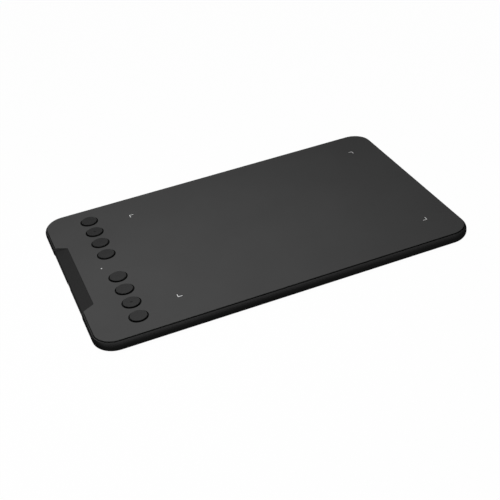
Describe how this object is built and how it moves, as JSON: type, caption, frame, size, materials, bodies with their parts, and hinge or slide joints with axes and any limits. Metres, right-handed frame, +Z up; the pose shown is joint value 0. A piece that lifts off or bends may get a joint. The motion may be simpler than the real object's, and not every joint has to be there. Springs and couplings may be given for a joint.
{
  "type": "graphics tablet",
  "caption": "Slim graphics tablet with a matte drawing face, round press keys in a column at the left end, a sloped dark insert round the socket and rubber feet.",
  "frame": {"origin": "middle of the rectangle that the tablet covers, at the underside of the feet", "axes": "+X along the length towards the end without keys, +Y away from the user, +Z up"},
  "size_m": [0.257, 0.164, 0.0096],
  "materials": {
    "case_plastic": "fine moulded texture",
    "panel_plastic": "fine matte drawing surface",
    "trim_plastic": "fine moulded texture",
    "key_plastic": "smooth matte",
    "light_pipe": "clear, slightly frosted",
    "chip_package": "moulded epoxy",
    "circuit_board": "green solder mask",
    "steel_can": "plain",
    "adhesive": "double-sided film",
    "shield_sheet": "rolled sheet",
    "foam": "closed-cell foam",
    "connector_plastic": "moulded",
    "ribbon_film": "amber film",
    "socket_steel": "plated",
    "screw_steel": "zinc plated",
    "switch_steel": "plain",
    "foot_rubber": "matte"
  },
  "bodies": {
    "tablet": {"lower_shell": "case_plastic", "top_panel": "panel_plastic", "port_trim": "trim_plastic", "light_pipe": "light_pipe", "status_led": "chip_package", "control_board": "circuit_board", "control_chip": "chip_package", "crystal": "steel_can", "board_capacitors": "chip_package", "sensor_board": "circuit_board", "sensor_adhesive": "adhesive", "shield_plate": "shield_sheet", "foam_pad": "foam", "amplifier_chips": "chip_package", "flex_connectors": "connector_plastic", "flex_cable": "ribbon_film", "usb_socket_shell": "socket_steel", "usb_socket_tongue": "connector_plastic", "case_screws": "screw_steel", "switch_housings": "connector_plastic", "switch_covers": "switch_steel", "foot_left_front": "foot_rubber", "foot_left_back": "foot_rubber", "foot_right_front": "foot_rubber", "foot_right_back": "foot_rubber", "switch_dome_1": "switch_steel", "switch_dome_2": "switch_steel", "switch_dome_3": "switch_steel", "switch_dome_4": "switch_steel", "switch_dome_5": "switch_steel", "switch_dome_6": "switch_steel", "switch_dome_7": "switch_steel", "switch_dome_8": "switch_steel"},
    "key_1": {"key_cap_1": "key_plastic", "switch_plunger_1": "connector_plastic"},
    "key_2": {"key_cap_2": "key_plastic", "switch_plunger_2": "connector_plastic"},
    "key_3": {"key_cap_3": "key_plastic", "switch_plunger_3": "connector_plastic"},
    "key_4": {"key_cap_4": "key_plastic", "switch_plunger_4": "connector_plastic"},
    "key_5": {"key_cap_5": "key_plastic", "switch_plunger_5": "connector_plastic"},
    "key_6": {"key_cap_6": "key_plastic", "switch_plunger_6": "connector_plastic"},
    "key_7": {"key_cap_7": "key_plastic", "switch_plunger_7": "connector_plastic"},
    "key_8": {"key_cap_8": "key_plastic", "switch_plunger_8": "connector_plastic"}
  },
  "joints": [
    {"name": "key_1_press", "type": "slide", "parent": "tablet", "child": "key_1", "axis": [0, 0, -1], "range_m": [0, 0.0003], "stiffness_N_per_m": 1500, "springref_m": -0.0002, "deforming": ["switch_dome_1"]},
    {"name": "key_2_press", "type": "slide", "parent": "tablet", "child": "key_2", "axis": [0, 0, -1], "range_m": [0, 0.0003], "stiffness_N_per_m": 1500, "springref_m": -0.0002, "deforming": ["switch_dome_2"]},
    {"name": "key_3_press", "type": "slide", "parent": "tablet", "child": "key_3", "axis": [0, 0, -1], "range_m": [0, 0.0003], "stiffness_N_per_m": 1500, "springref_m": -0.0002, "deforming": ["switch_dome_3"]},
    {"name": "key_4_press", "type": "slide", "parent": "tablet", "child": "key_4", "axis": [0, 0, -1], "range_m": [0, 0.0003], "stiffness_N_per_m": 1500, "springref_m": -0.0002, "deforming": ["switch_dome_4"]},
    {"name": "key_5_press", "type": "slide", "parent": "tablet", "child": "key_5", "axis": [0, 0, -1], "range_m": [0, 0.0003], "stiffness_N_per_m": 1500, "springref_m": -0.0002, "deforming": ["switch_dome_5"]},
    {"name": "key_6_press", "type": "slide", "parent": "tablet", "child": "key_6", "axis": [0, 0, -1], "range_m": [0, 0.0003], "stiffness_N_per_m": 1500, "springref_m": -0.0002, "deforming": ["switch_dome_6"]},
    {"name": "key_7_press", "type": "slide", "parent": "tablet", "child": "key_7", "axis": [0, 0, -1], "range_m": [0, 0.0003], "stiffness_N_per_m": 1500, "springref_m": -0.0002, "deforming": ["switch_dome_7"]},
    {"name": "key_8_press", "type": "slide", "parent": "tablet", "child": "key_8", "axis": [0, 0, -1], "range_m": [0, 0.0003], "stiffness_N_per_m": 1500, "springref_m": -0.0002, "deforming": ["switch_dome_8"]}
  ]
}
